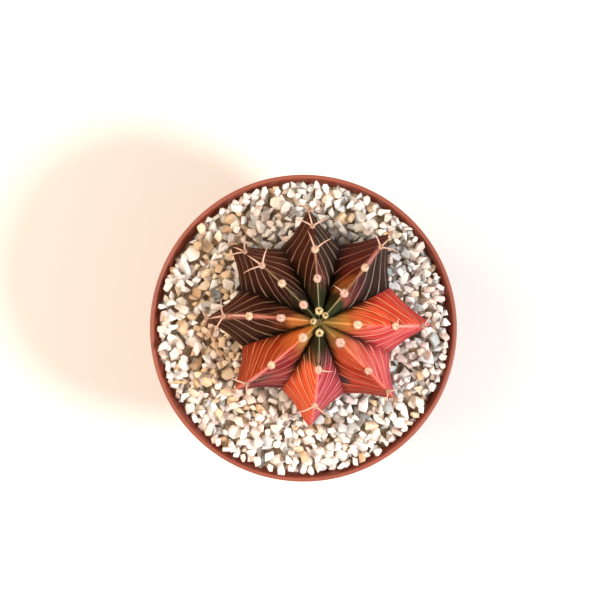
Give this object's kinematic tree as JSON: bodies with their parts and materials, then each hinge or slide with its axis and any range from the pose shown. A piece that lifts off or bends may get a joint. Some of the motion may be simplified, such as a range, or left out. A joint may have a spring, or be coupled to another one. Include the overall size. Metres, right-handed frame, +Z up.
{
  "type": "potted cactus",
  "caption": "Star-ribbed variegated moon cactus with woolly areoles and curved spines, rooted in soil under pale gravel in a round tapered plastic pot.",
  "frame": {"origin": "centre of the pot's foot, on the surface that it stands on", "axes": "+Z up along the pot's axis; the rib at azimuth 92.5 degrees (areole_rib1) points along +Y"},
  "size_m": [0.085, 0.085, 0.1019],
  "materials": {
    "pot_plastic": "satin terracotta-brown moulded plastic",
    "soil": "dark crumbly potting mix",
    "gravel": "matte crushed stone in cream, pink-white and grey",
    "stem_skin": "waxy satin skin, coral red to brown-black with pale cross bands",
    "areole_wool": "soft cream-pink wool and horny tan spines"
  },
  "bodies": {
    "root": {"areole_rib1_1": "areole_wool", "areole_rib1_2": "areole_wool", "areole_rib1_3": "areole_wool", "areole_rib1_4": "areole_wool", "areole_rib2_1": "areole_wool", "areole_rib2_2": "areole_wool", "areole_rib2_3": "areole_wool", "areole_rib2_4": "areole_wool", "areole_rib2_5": "areole_wool", "areole_rib3_1": "areole_wool", "areole_rib3_2": "areole_wool", "areole_rib3_3": "areole_wool", "areole_rib3_4": "areole_wool", "areole_rib4_1": "areole_wool", "areole_rib4_2": "areole_wool", "areole_rib4_3": "areole_wool", "areole_rib4_4": "areole_wool", "areole_rib5_1": "areole_wool", "areole_rib5_2": "areole_wool", "areole_rib5_3": "areole_wool", "areole_rib6_1": "areole_wool", "areole_rib6_2": "areole_wool", "areole_rib6_3": "areole_wool", "areole_rib6_4": "areole_wool", "areole_rib7_1": "areole_wool", "areole_rib7_2": "areole_wool", "areole_rib7_3": "areole_wool", "areole_rib7_4": "areole_wool", "areole_rib8_1": "areole_wool", "areole_rib8_2": "areole_wool", "areole_rib8_3": "areole_wool", "areole_rib8_4": "areole_wool", "cactus_stem": "stem_skin", "crown_wool": "areole_wool", "gravel_bed": "gravel", "pebble_01": "gravel", "pebble_02": "gravel", "pebble_03": "gravel", "pebble_04": "gravel", "pebble_05": "gravel", "pebble_06": "gravel", "pebble_07": "gravel", "pebble_08": "gravel", "pebble_09": "gravel", "pebble_10": "gravel", "pebble_11": "gravel", "pebble_12": "gravel", "pebble_13": "gravel", "pebble_14": "gravel", "pebble_15": "gravel", "pebble_16": "gravel", "pot": "pot_plastic", "potting_soil": "soil"}
  },
  "joints": []
}
